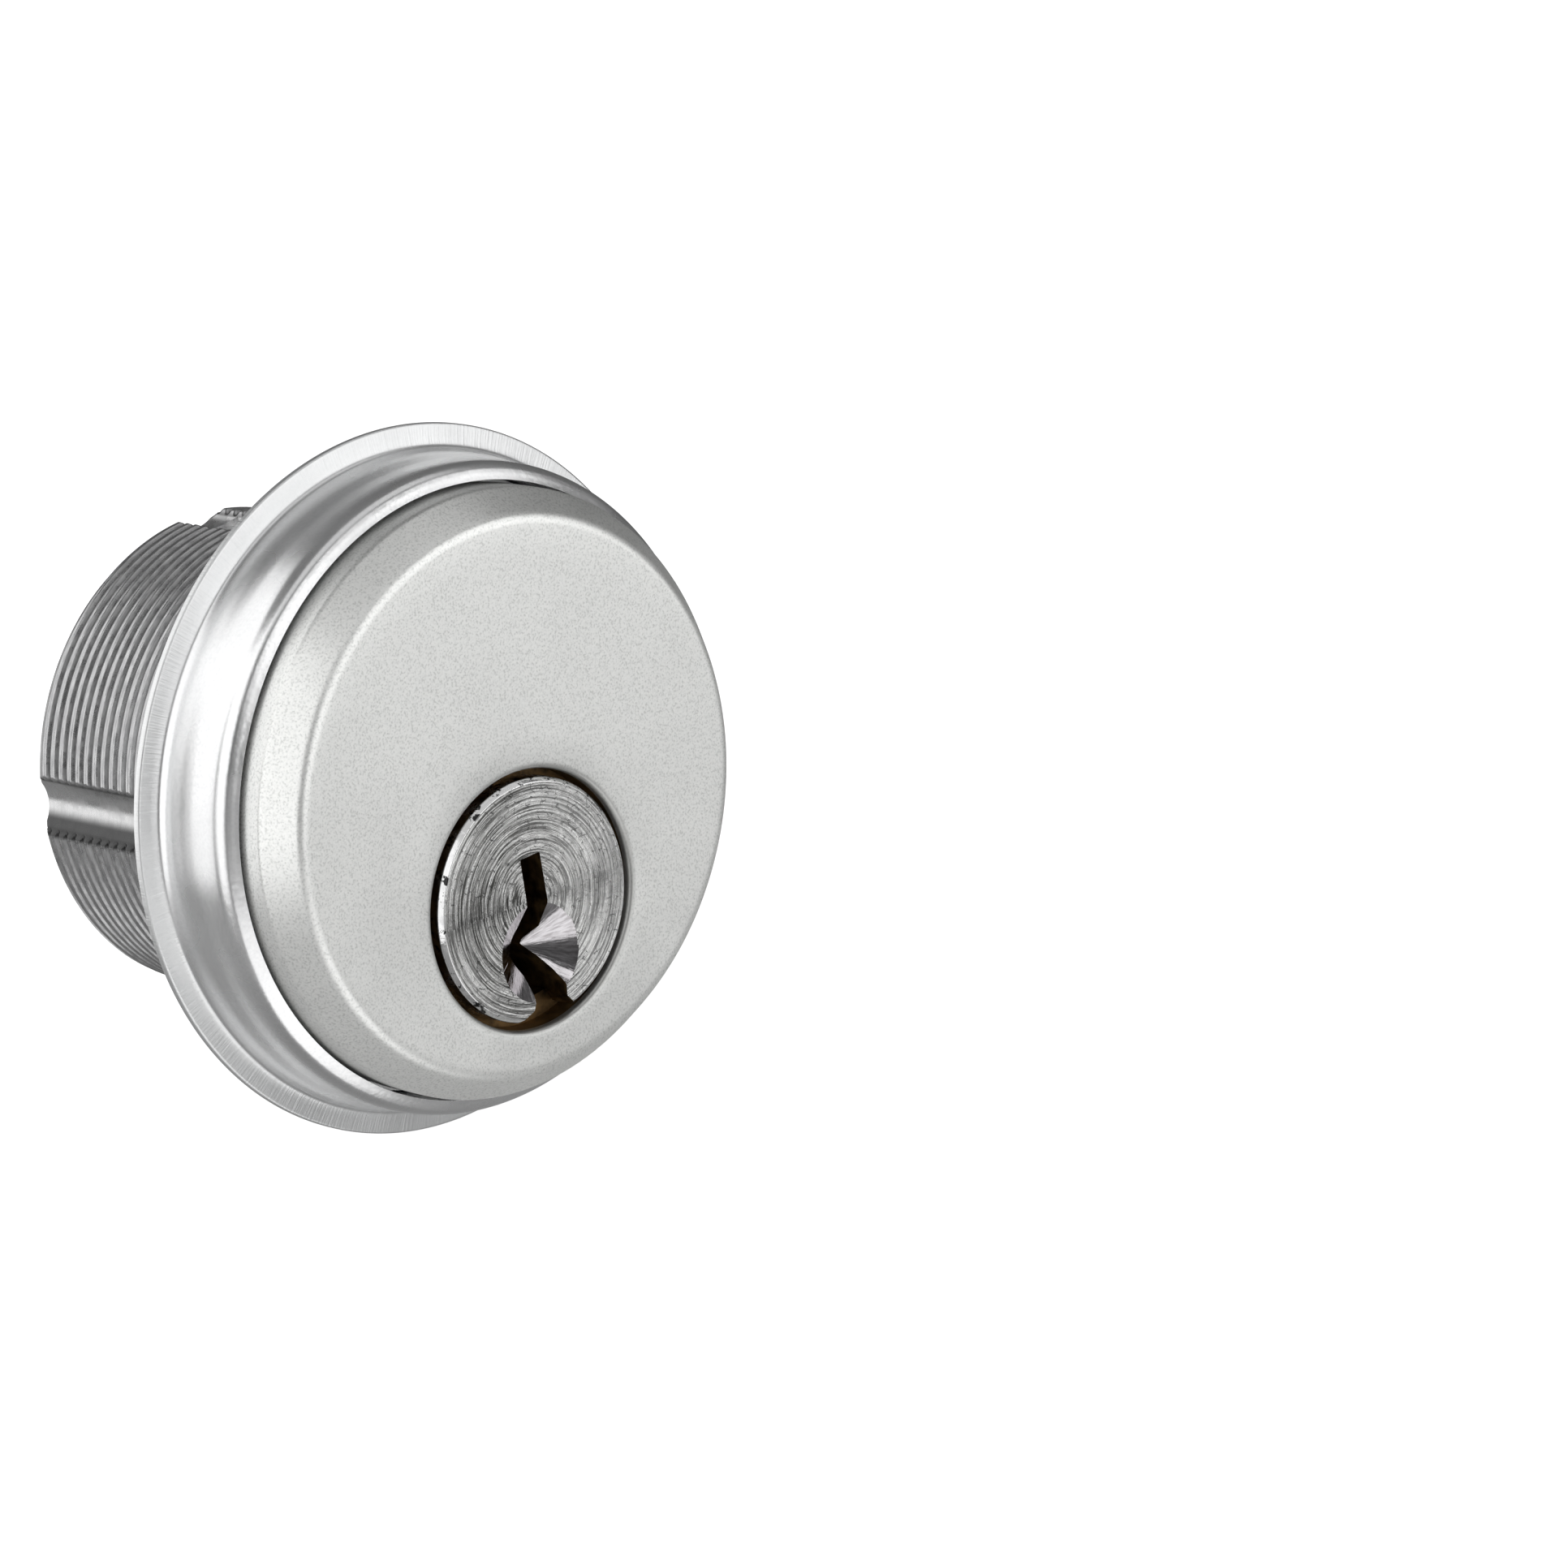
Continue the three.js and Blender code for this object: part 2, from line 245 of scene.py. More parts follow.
def ring(radius, y, z, angles):
    """A circle about a line along Y through (0, z). The radius may differ at each angle."""
    x = radius * np.cos(angles)
    return np.stack([x, np.full_like(angles, y), z + radius * np.sin(angles)], axis=1)


def turned(profile, steps, z=0.0):
    """A solid turned about a line along Y. The profile is (radius, y); it closes on itself
    or starts and ends on the axis."""
    angles = even_angles(steps)
    on_axis = profile[0][0] == 0
    inner = profile[1:-1] if on_axis else profile
    vertices, faces = lofted([ring(r, y, z, angles) for r, y in inner], not on_axis)
    if on_axis:
        first, last = len(vertices), len(vertices) + 1
        tips = [(0, profile[0][1], z), (0, profile[-1][1], z)]
        vertices = np.concatenate([vertices, tips])
        base = (len(inner) - 1) * steps
        for k in range(steps):
            after = (k + 1) % steps
            faces.append((first, k, after))
            faces.append((last, base + after, base + k))
    return vertices, faces


def upright(vertices, x, y):
    """Turns a shape made about the Y axis to stand on +Z at (x, y)."""
    return np.stack([vertices[:, 0] + x, y - vertices[:, 2], vertices[:, 1]], axis=1)


def rounded(points, steps=5):
    """A polyline's corners as arcs. Each point is (a, b) or (a, b, corner radius)."""
    result = []
    for i, point in enumerate(points):
        corner = Vector(point[:2])
        size = point[2] if len(point) > 2 else 0
        if size == 0:
            result.append(tuple(corner))
            continue
        before = Vector(points[i - 1][:2]) - corner
        after = Vector(points[(i + 1) % len(points)][:2]) - corner
        half = before.angle(after) / 2
        reach = min(size / math.tan(half), 0.49 * before.length, 0.49 * after.length)
        start = corner + before.normalized() * reach
        end = corner + after.normalized() * reach
        for k in range(steps + 1):
            t = k / steps
            mixed = start * (1 - t) ** 2 + corner * 2 * t * (1 - t) + end * t ** 2
            result.append(tuple(mixed))
    return result


def smooth_line(points, per_span=8):
    """A Catmull-Rom curve through the points."""
    knots = [np.array(p, float) for p in points]
    knots = [2 * knots[0] - knots[1], *knots, 2 * knots[-1] - knots[-2]]
    result = []
    for a, b, c, d in zip(knots, knots[1:], knots[2:], knots[3:]):
        for k in range(per_span):
            t = k / per_span
            result.append(tuple(0.5 * (2 * b + (c - a) * t + (2 * a - 5 * b + 4 * c - d) * t ** 2
                                       + (3 * b - a - 3 * c + d) * t ** 3)))
    result.append(tuple(knots[-2]))
    return result


def arc(centre_a, centre_b, radius, start, end, steps):
    """Points on an arc between two angles in degrees."""
    angles = np.radians(np.linspace(start, end, steps + 1))
    return [(centre_a + radius * math.cos(a), centre_b + radius * math.sin(a)) for a in angles]


def prism(name, outline, y0, y1, materials):
    """An (x, z) outline, anticlockwise seen from the face, carried from y0 to y1."""
    count = len(outline)
    vertices = [(x, y, z) for y in (y0, y1) for x, z in outline]
    faces = [tuple(range(count)), tuple(range(2 * count - 1, count - 1, -1))]
    for k in range(count):
        after = (k + 1) % count
        faces.append((count + k, count + after, after, k))
    return add_piece(name, vertices, faces, materials)


def tube(points, radius, sides):
    """A round wire along a line of points, closed at both ends."""
    points = np.array(points, float)
    along = np.gradient(points, axis=0)
    along /= np.linalg.norm(along, axis=1, keepdims=True)
    side = np.cross(along[0], (0, 0, 1.0))
    loops = []
    for point, direction in zip(points, along):
        side -= direction * np.dot(side, direction)
        side /= np.linalg.norm(side)
        up = np.cross(direction, side)
        turn = even_angles(sides)[:, None]
        loops.append(point + radius * (np.cos(turn) * side - np.sin(turn) * up))
    vertices, faces = lofted(loops, False)
    last = len(vertices) - sides
    faces.append(tuple(range(sides)))
    faces.append(tuple(range(len(vertices) - 1, last - 1, -1)))
    return vertices, faces


# ------------------------------------------------------------------ material helpers


def set_stops(ramp, stops):
    """Gives a colour ramp its stops, as (position, colour)."""
    while len(ramp.elements) < len(stops):
        ramp.elements.new(0.5)
    for element, (position, colour) in zip(ramp.elements, stops):
        element.position = position
        element.color = (*colour, 1)


class Look:
    """A material with one Principled shader and the few nodes this object needs. A noise's
    scale is how many of its grains fit in a metre, so 2 / MM is two to the millimetre."""

    def __init__(self, name, colour, metallic, roughness):
        self.material = bpy.data.materials.new(name)
        self.material.use_nodes = True
        self.tree = self.material.node_tree
        self.shader = self.tree.nodes["Principled BSDF"]
        self.shader.inputs["Base Color"].default_value = (*colour, 1)
        self.shader.inputs["Metallic"].default_value = metallic
        self.shader.inputs["Roughness"].default_value = roughness
        self.place = self.add("ShaderNodeTexCoord").outputs["Object"]

    def add(self, kind, **inputs):
        """A new node. Each input is a number, a colour or another node's output."""
        node = self.tree.nodes.new(kind)
        for name, value in inputs.items():
            self.feed(node.inputs[name.replace("_", " ")], value)
        return node

    def feed(self, socket, value):
        """Links a node's output to the socket, or sets the socket to a value."""
        if isinstance(value, bpy.types.NodeSocket):
            self.tree.links.new(value, socket)
        else:
            socket.default_value = value

    def maths(self, operation, a, b=0.0):
        """One sum on numbers or other nodes' outputs."""
        node = self.tree.nodes.new("ShaderNodeMath")
        node.operation = operation
        self.feed(node.inputs[0], a)
        self.feed(node.inputs[1], b)
        return node.outputs[0]

    def stretched(self, x, y, z):
        """The place on the piece, scaled along each axis."""
        node = self.add("ShaderNodeMapping", Vector=self.place)
        node.inputs["Scale"].default_value = (x, y, z)
        return node.outputs["Vector"]

    def along(self, axis):
        """The place on the piece along X, Y or Z."""
        return self.add("ShaderNodeSeparateXYZ", Vector=self.place).outputs[axis]

    def noise(self, vector, scale, detail=3.0, roughness=0.5):
        """Cloudy noise from 0 to 1, mostly near 0.5."""
        node = self.add("ShaderNodeTexNoise", Vector=vector, Scale=scale, Detail=detail,
                        Roughness=roughness)
        return node.outputs["Fac"]

    def streaks(self, across, angle, across_scale, angle_scale, scale=1.0, detail=3.0,
                roughness=0.5):
        """Noise drawn out round an axis, from a place across the streaks and an angle."""
        vector = self.add("ShaderNodeCombineXYZ", X=self.maths("MULTIPLY", across, across_scale),
                          Y=self.maths("MULTIPLY", angle, angle_scale)).outputs["Vector"]
        return self.noise(vector, scale, detail, roughness)

    def ranged(self, value, low, high, to_low, to_high):
        """Goes smoothly from to_low at low to to_high at high."""
        node = self.tree.nodes.new("ShaderNodeMapRange")
        node.interpolation_type = "SMOOTHSTEP"
        for socket, number in zip(node.inputs, (value, low, high, to_low, to_high)):
            self.feed(socket, number)
        return node.outputs["Result"]

    def colours(self, factor, stops):
        """A colour from a ramp of stops, as (position, colour)."""
        node = self.tree.nodes.new("ShaderNodeValToRGB")
        self.feed(node.inputs["Fac"], factor)
        set_stops(node.color_ramp, stops)
        return node.outputs["Color"]

    def mixed(self, share, a, b):
        """Colour a, with a share of colour b over it."""
        node = self.tree.nodes.new("ShaderNodeMix")
        node.data_type = "RGBA"
        self.feed(node.inputs["Factor"], share)
        for socket, colour in zip([i for i in node.inputs if i.type == "RGBA"], (a, b)):
            if isinstance(colour, bpy.types.NodeSocket):
                self.feed(socket, colour)
            else:
                self.feed(socket, (*colour, 1))
        return next(o for o in node.outputs if o.type == "RGBA")

    def scratches(self, scale, width, patch_scale):
        """1 on thin broken lines, 0 between them. They are the edges of cells, kept only in
        patches."""
        cells = self.add("ShaderNodeTexVoronoi", Vector=self.place, Scale=scale)
        cells.feature = "DISTANCE_TO_EDGE"
        lines = self.ranged(cells.outputs["Distance"], 0, width, 1, 0)
        kept = self.ranged(self.noise(self.place, patch_scale, 1), 0.56, 0.62, 0, 1)
        return self.maths("MULTIPLY", lines, kept)

    def colour(self, value):
        self.feed(self.shader.inputs["Base Color"], value)

    def roughness(self, value):
        self.feed(self.shader.inputs["Roughness"], value)

    def relief(self, height, distance, strength=1.0):
        """Adds a bump to those already there."""
        node = self.add("ShaderNodeBump", Height=height, Strength=strength, Distance=distance)
        normal = self.shader.inputs["Normal"]
        if normal.is_linked:
            self.tree.links.new(normal.links[0].from_socket, node.inputs["Normal"])
        self.tree.links.new(node.outputs["Normal"], normal)

    def around(self, z):
        """Distance from a line along Y through (0, z), and the angle about it."""
        parts = self.add("ShaderNodeSeparateXYZ", Vector=self.place)
        x = parts.outputs["X"]
        height = self.maths("SUBTRACT", parts.outputs["Z"], z)
        squares = self.maths("ADD", self.maths("MULTIPLY", x, x),
                             self.maths("MULTIPLY", height, height))
        return self.maths("SQRT", squares), self.maths("ARCTAN2", height, x)


def satin_head():
    """Fine silver paint: slightly warm, with a close grain of darker specks. A ring of painted
    shade goes round the pocket's edge."""
    paint = (0.88, 0.888, 0.87)
    look = Look("satin_head", paint, 0.86, 0.4)
    grain = look.noise(look.place, 7.5 / MM, 2)
    cloud = look.noise(look.place, 0.16 / MM, 2)
    tone = look.colours(grain, [(0.34, (0.7, 0.708, 0.69)), (0.47, paint),
                                (0.66, (0.94, 0.945, 0.925))])
    specks = look.ranged(look.noise(look.place, 4.2 / MM, 2), 0.66, 0.74, 0, 0.14)
    tone = look.mixed(specks, tone, (0.5, 0.49, 0.46))
    radius, _ = look.around(PLUG_Z)
    # Painted shade: the face is darkened in a ring round the pocket's edge, where the real edge
    # lies in shadow.
    pocket_shade_start = POCKET_RADIUS + 0.3 * POCKET_EDGE
    pocket_shade_end = POCKET_RADIUS + 1.5 * POCKET_EDGE
    pocket_shade = look.ranged(radius, pocket_shade_start, pocket_shade_end, 0.75, 0)
    look.colour(look.mixed(pocket_shade, tone, (0.3, 0.3, 0.29)))
    look.roughness(look.ranged(cloud, 0.3, 0.7, 0.35, 0.43))
    look.relief(look.noise(look.place, 6 / MM, 2), 0.015 * MM, 0.35)
    return look.material


def satin_collar():
    """Drawn aluminium: smooth on its ridges, brushed on its flange, wrinkled at its lip."""
    look = Look("satin_collar", (0.9, 0.905, 0.91), 1.0, 0.3)
    grain = look.noise(look.place, 5.2 / MM, 3)
    tone = look.colours(grain, [(0.3, (0.91, 0.915, 0.92)), (0.6, (0.98, 0.982, 0.985))])
    radius, angle = look.around(0)
    brushed = look.streaks(radius, angle, 0.25 / MM, 90, 1.5)
    on_flange = look.ranged(radius, FLANGE_INNER - 0.2 * MM, FLANGE_INNER + 0.2 * MM, 0, 1)
    look.colour(look.mixed(look.maths("MULTIPLY", on_flange, 0.6), tone, (0.84, 0.85, 0.85)))
    drawn = look.noise(look.place, 0.22 / MM, 2)
    smooth_wall = look.ranged(drawn, 0.3, 0.7, 0.25, 0.31)
    look.roughness(look.maths("ADD", smooth_wall, look.maths("MULTIPLY", on_flange, 0.12)))
    look.relief(grain, 0.004 * MM, 0.15)
    look.relief(brushed, 0.03 * MM, look.maths("MULTIPLY", on_flange, 0.9))
    on_nose = look.ranged(look.along("Y"), NOSE_Y - 0.35 * MM, NOSE_Y + 0.35 * MM, 0.2, 0)
    look.relief(look.noise(look.place, 2.1 / MM, 1.5), 0.05 * MM, on_nose)
    return look.material


def machined_thread():
    """Bare cut metal: painted shade in the thread's root, pale in the smooth grooves, painted
    shade along the lower half of the grooves at the sides, streaks and small nicks."""
    look = Look("machined_thread", (0.45, 0.45, 0.455), 1.0, 0.3)
    radius, angle = look.around(0)
    streaks = look.streaks(look.along("Y"), angle, 9 / MM, 14, 1.0, 4, 0.6)
    tone = look.colours(streaks, [(0.3, (0.34, 0.34, 0.345)), (0.5, (0.52, 0.52, 0.525)),
                                  (0.7, (0.64, 0.64, 0.64))])
    below = look.maths("SUBTRACT", THREAD_RADIUS, radius)
    # Painted shade: the thread's root is darkened where shade falls between the crests.
    root_shade = look.ranged(below, 0.1 * MM, THREAD_DEPTH, 0, 0.75)
    off_groove = look.ranged(below, 0.4 * MM, 0.55 * MM, 1, 0)
    tone = look.mixed(look.maths("MULTIPLY", root_shade, off_groove), tone, (0.16, 0.16, 0.16))
    in_groove = look.ranged(below, 0.35 * MM, 0.45 * MM, 0, 0.6)
    tone = look.mixed(in_groove, tone, (0.78, 0.78, 0.78))
    # Painted shade: the lower half of the grooves at the sides is darkened in place of the dark
    # reflection there.
    height = look.along("Z")
    low_side = look.maths("MULTIPLY", look.ranged(height, -1.0 * MM, -0.3 * MM, 0.95, 0),
                          look.ranged(height, -2.1 * MM, -1.8 * MM, 0, 1))
    on_outside = look.ranged(below, 1.1 * MM, 1.3 * MM, 1, 0)
    groove_shade = look.maths("MULTIPLY", low_side, on_outside)
    look.colour(look.mixed(groove_shade, tone, (0.06, 0.06, 0.06)))
    dirt = look.noise(look.place, 1.3 / MM, 4, 0.65)
    look.roughness(look.ranged(dirt, 0.35, 0.7, 0.24, 0.4))
    look.relief(streaks, 0.006 * MM, 0.5)
    look.relief(dirt, 0.02 * MM, 0.3)
    return look.material


def turned_chrome():
    """Plating worn by keys, over the rings left by facing the plug on a lathe. Its right half
    has painted light, and its edge has a painted highlight and chips."""
    look = Look("turned_chrome", (0.62, 0.62, 0.61), 1.0, 0.2)
    radius, angle = look.around(PLUG_Z)
    arcs = look.streaks(radius, angle, 7.6 / MM, 0.9, 1.0, 5, 0.75)
    worn = look.noise(look.place, 0.9 / MM, 4, 0.6)
    tone = look.colours(arcs, [(0.42, (0.08, 0.08, 0.075)), (0.5, (0.5, 0.5, 0.49)),
                               (0.57, (0.95, 0.95, 0.94))])
    # Painted light: the right half of the face is lightened, standing in for brighter light
    # falling there.
    painted_light_tone = look.colours(arcs, [(0.43, (0.4, 0.4, 0.395)), (0.52, (0.94, 0.94, 0.93))])
    tone = look.mixed(look.ranged(look.along("X"), -2 * MM, 5 * MM, 0, 0.85), tone, painted_light_tone)
    scratches = look.scratches(2.1 / MM, 0.06, 2.6 / MM)
    tone = look.mixed(look.maths("MULTIPLY", scratches, 0.6), tone, (0.05, 0.05, 0.05))
    on_edge = look.ranged(radius, PLUG_EDGE, PLUG_EDGE + 0.05 * MM, 0, 1)
    chips = look.ranged(look.noise(look.place, 1.5 / MM, 4, 0.7), 0.57, 0.61, 0, 1)
    # Painted highlight: the rim past PLUG_EDGE is lightened nearly to white, as the bevel's
    # highlight.
    tone = look.mixed(look.maths("MULTIPLY", on_edge, 0.9), tone, (0.9, 0.9, 0.9))
    look.colour(look.mixed(look.maths("MULTIPLY", on_edge, chips), tone, (0.04, 0.04, 0.04)))
    look.roughness(look.ranged(worn, 0.35, 0.65, 0.1, 0.3))
    off_edge = look.maths("SUBTRACT", 1.0, on_edge)
    look.relief(arcs, 0.06 * MM, off_edge)
    look.relief(scratches, 0.04 * MM, off_edge)
    look.relief(look.noise(look.place, 2 / MM, 3), 0.05 * MM, 0.5)
    return look.material


def polished_cone():
    """The key lead-in: bright, with the chatter marks of its countersink."""
    look = Look("polished_cone", (0.74, 0.72, 0.73), 1.0, 0.1)
    radius, angle = look.around(PLUG_Z - LEAD_IN_RADIUS)
    chatter = look.streaks(radius, angle, 1.5 / MM, 14)
    look.colour(look.colours(chatter, [(0.35, (0.42, 0.4, 0.41)), (0.6, (0.68, 0.66, 0.68))]))
    look.roughness(look.ranged(chatter, 0.3, 0.7, 0.04, 0.14))
    look.relief(chatter, 0.02 * MM, 0.4)
    return look.material


def brass(name, dark, light, roughness):
    """Brass with darker stains and fine marks along Z."""
    look = Look(name, light, 1.0, roughness)
    stain = look.noise(look.place, 0.9 / MM, 3, 0.6)
    look.colour(look.colours(stain, [(0.3, dark), (0.65, light)]))
    look.roughness(look.ranged(stain, 0.3, 0.7, roughness - 0.06, roughness + 0.12))
    look.relief(look.noise(look.stretched(1, 1, 6), 2.5 / MM, 2), 0.01 * MM, 0.4)
    return look.material


def spring_wire():
    """Drawn steel wire, a little uneven in tone."""
    look = Look("spring_wire", (0.6, 0.61, 0.63), 1.0, 0.25)
    drawn = look.noise(look.place, 3 / MM, 3)
    look.colour(look.colours(drawn, [(0.3, (0.45, 0.46, 0.48)), (0.7, (0.66, 0.67, 0.69))]))
    look.roughness(look.ranged(drawn, 0.3, 0.7, 0.2, 0.36))
    look.relief(drawn, 0.005 * MM, 0.4)
    return look.material


def zinc_plate():
    """Zinc plating with its cloudy spangle."""
    look = Look("zinc_plate", (0.62, 0.64, 0.66), 1.0, 0.34)
    spangle = look.noise(look.place, 0.7 / MM, 4, 0.6)
    look.colour(look.colours(spangle, [(0.3, (0.5, 0.52, 0.55)), (0.6, (0.64, 0.66, 0.68)),
                                       (0.8, (0.72, 0.72, 0.7))]))
    look.roughness(look.ranged(spangle, 0.3, 0.7, 0.28, 0.46))
    look.relief(look.noise(look.place, 2.6 / MM, 2), 0.015 * MM, 0.4)
    return look.material


HEAD = satin_head()
COLLAR = satin_collar()
THREAD = machined_thread()
CHROME = turned_chrome()
CONE = polished_cone()
BRASS = brass("brass", (0.42, 0.27, 0.1), (0.66, 0.46, 0.2), 0.28)
# Painted shade: brass darkened nearly to black for the keyway, the bore and the pocket, where
# they lie in shade.
SHADED_BRASS = brass("dirty_brass", (0.05, 0.035, 0.02), (0.24, 0.15, 0.065), 0.45)
WIRE = spring_wire()
ZINC = zinc_plate()

# ------------------------------------------------------------------ cylinder shell


def groove_angles():
    """Angles round the body, close together where the smooth grooves are."""
    coarse = np.linspace(0, 360, 180, endpoint=False)
    fine = np.linspace(-GROOVE_SPREAD, GROOVE_SPREAD, 41)
    near = [(np.degrees(g) + fine) % 360 for g in GROOVE_ANGLES]
    return np.radians(np.unique(np.round(np.concatenate([coarse, *near]), 4)))


SHELL_ANGLES = groove_angles()
SHELL_MATERIALS = [HEAD, THREAD, SHADED_BRASS]
PAINTED, BARE, BORE = range(3)  # places in that list


def groove_limit(angles):
    """How far out the material reaches where a groove's round cutter has passed."""
    centre = THREAD_RADIUS - GROOVE_DEPTH + GROOVE_RADIUS
    limit = np.full_like(angles, THREAD_RADIUS)
    for groove in GROOVE_ANGLES:
        turn = (angles - groove + math.pi) % (2 * math.pi) - math.pi
        across = centre * np.sin(turn)
        inside = (np.abs(across) < GROOVE_RADIUS) & (np.abs(turn) < 1)
        depth = np.sqrt(np.maximum(GROOVE_RADIUS ** 2 - across ** 2, 0))
        limit = np.where(inside, np.minimum(limit, centre * np.cos(turn) - depth), limit)
    return limit


def neck_radius(angles, y):
    """The threaded part's outside before the thread is cut."""
    chamfer = THREAD_RADIUS - BACK_CHAMFER + (BACK_Y - y)
    return np.minimum(groove_limit(angles), chamfer)


def thread_skin(first_vertex):
    """The threaded surface between two plain circles. Its rows follow the helix, so a row
    ends where the row one pitch before it began. Rows are held between the two ends, and two
    spare pitches let the last rows lie flat on the back end."""
    columns = len(SHELL_ANGLES)
    per_pitch = len(THREAD_FORM)
    pitches = math.ceil((BACK_Y - THREAD_START_Y) / THREAD_PITCH) + 2
    shares = np.array([p + share for p in range(pitches) for share, _ in THREAD_FORM])
    depths = np.array([depth for _ in range(pitches) for _, depth in THREAD_FORM])
    y = THREAD_START_Y + shares[:, None] * THREAD_PITCH
    y = y - SHELL_ANGLES[None, :] / (2 * math.pi) * THREAD_PITCH
    y = np.clip(y, THREAD_START_Y, BACK_Y)
    fade = np.clip((y - THREAD_START_Y) / THREAD_FADE, 0, 1)
    angles = np.broadcast_to(SHELL_ANGLES, y.shape)
    cut = THREAD_RADIUS - THREAD_DEPTH * depths[:, None] * fade
    radius = np.minimum(cut, neck_radius(angles, y))
    skin = np.stack([radius * np.cos(angles), y, radius * np.sin(angles)], axis=2)
    faces = []
    for i in range(len(shares) - 1):
        for k in range(columns):
            here, there = i * columns + k, (i + 1) * columns + k
            if k + 1 < columns:
                faces.append((here, there, there + 1, here + 1))
            elif i >= per_pitch:
                back = (i - per_pitch) * columns
                faces.append((here, there, back + columns, back))
            elif i == per_pitch - 1:
                # The first row has nothing before it, so a triangle closes the seam.
                faces.append((here, there, 0))
    faces = [tuple(first_vertex + v for v in face) for face in faces]
    return skin.reshape(-1, 3), faces


def plain_skin():
    """The rest of the shell: from the bore's back end through the pocket, the face and the
    head to the start of the thread, and the flat back end."""
    loops, looks = [], []

    def add(radius, y, z, look):
        """One more loop, and the look of the faces from it to the next."""
        loops.append(ring(radius, y, z, SHELL_ANGLES))
        looks.append(look)

    back_edge = np.minimum(groove_limit(SHELL_ANGLES), THREAD_RADIUS - BACK_CHAMFER)
    for t in np.linspace(0, 1, 6):
        add(back_edge + (PLUG_BORE - back_edge) * t, BACK_Y, PLUG_Z * t, BARE)
    looks[-1] = BORE
    add(PLUG_BORE, FACE_Y + POCKET_DEPTH, PLUG_Z, BORE)
    add(POCKET_RADIUS, FACE_Y + POCKET_DEPTH, PLUG_Z, BORE)
    paint_depth = 1.6 * POCKET_EDGE
    add(POCKET_RADIUS, FACE_Y + paint_depth, PLUG_Z, PAINTED)
    hole = POCKET_RADIUS + POCKET_EDGE
    for r, y in arc(hole, FACE_Y + POCKET_EDGE, POCKET_EDGE, 180, 270, 6):
        add(r, y, PLUG_Z, PAINTED)
    outline = rounded([
        (0, FACE_Y),
        (FACE_RADIUS, FACE_Y, 1.0 * MM),
        (HEAD_RADIUS, FACE_Y + CHAMFER_DEPTH, 0.6 * MM),
        (HEAD_RADIUS, HEAD_BACK_Y, 0.2 * MM),
        (THREAD_RADIUS, HEAD_BACK_Y),
    ], 8)[1:]
    face_edge = outline[0][0]
    for t in np.linspace(0, 1, 9)[1:-1]:
        add(hole + (face_edge - hole) * t, FACE_Y, PLUG_Z * (1 - t), PAINTED)
    for r, y in outline[:-1]:
        add(r, y, 0.0, PAINTED)
    for y in (HEAD_BACK_Y, THREAD_START_Y):
        add(neck_radius(SHELL_ANGLES, y), y, 0.0, BARE)
    vertices, faces = lofted(loops, False)
    return vertices, faces, np.repeat(looks[:-1], len(SHELL_ANGLES))


def round_strip(grown, section):
    """A strip with round ends, in the cover's plan grown all round. The section is a list of
    (inset from the edge, z)."""
    half = cover_high.x + grown
    front, back = cover_low.y + cover_high.x, cover_high.y - cover_high.x
    loops = []
    for inset, z in section:
        radius = half - inset
        plan = arc(0, front, radius, 360, 180, 14) + arc(0, back, radius, 180, 0, 14)
        loops.append(np.array([(x, y, z) for x, y in plan]))
    vertices, faces = lofted(loops, False)
    count = len(loops[0])
    last = len(vertices) - count
    faces += [tuple(range(count)), tuple(range(len(vertices) - 1, last - 1, -1))]
    return vertices, faces


def weld(piece):
    """Joins the piece's vertices where they meet."""
    joined = bmesh.new()
    joined.from_mesh(piece.data)
    bmesh.ops.remove_doubles(joined, verts=joined.verts, dist=WELD)
    joined.to_mesh(piece.data)
    joined.free()


def cylinder_shell():
    """The painted head and the threaded body, with the slot for the pin chamber cover."""
    vertices, faces, face_looks = plain_skin()
    thread, thread_faces = thread_skin(len(vertices))
    vertices = np.concatenate([vertices, thread])
    face_looks = np.concatenate([face_looks, np.full(len(thread_faces), BARE)])
    piece = add_piece("cylinder_shell_fine", vertices, faces + thread_faces, SHELL_MATERIALS,
                      SHELL_SHARP, face_looks)
    weld(piece)
    slot = round_strip(COVER_GAP, [(0, cover_low.z - COVER_GAP), (0, THREAD_RADIUS + MM)])
    carve(piece, [add_piece("cover_slot_cutter", *slot, [THREAD])], SHELL_SHARP)
    return seat(piece, "cylinder", "cylinder_shell", "cylinder_shell")


def pin_chamber_cover():
    """The strip with round ends that is pressed into the slot over the pin chambers."""
    middle = cover_high.x * 0.9
    section = rounded([(middle, cover_low.z), (0, cover_low.z, 0.1 * MM),
                       (0, cover_high.z, 0.08 * MM), (middle, cover_high.z)])
    piece = add_piece("pin_chamber_cover_fine", *round_strip(0, section), [THREAD])
    return seat(piece, "cylinder", "cylinder_shell", "pin_chamber_cover")


# ------------------------------------------------------------------ plug


def keyway_outline():
    """The keyway's section about the plug's axis, as (x, z, corner radius) in millimetres. It
    runs out of the plug at the foot."""
    foot = -9
    corners = [
        (0.88, 2.75, 0.12), (-0.68, 2.65, 0.12), (-0.53, -0.15, 0.1), (-0.75, -1.6, 0.2),
        (-1.3, -2.4, 0.2), (-1.3, -3.3, 0.2), (-0.65, -4.6, 0.3), (-0.65, -5.7, 0.3),
        (-1.0, -6.5, 0.2), (-2.3, -7.0, 0.05), (-2.3, foot, 0), (2.1, foot, 0),
        (2.1, -6.8, 0.05), (1.65, -6.3, 0.15), (1.7, -5.5, 0.3), (1.33, -4.6, 0.3),
        (0.85, -3.8, 0.3), (0.18, -2.95, 0.1), (0.18, -2.65, 0.1), (1.0, -1.95, 0.12),
        (1.07, -0.2, 0.1),
    ]
    return rounded([(x * MM, PLUG_Z + z * MM, r * MM) for x, z, r in corners], 4)


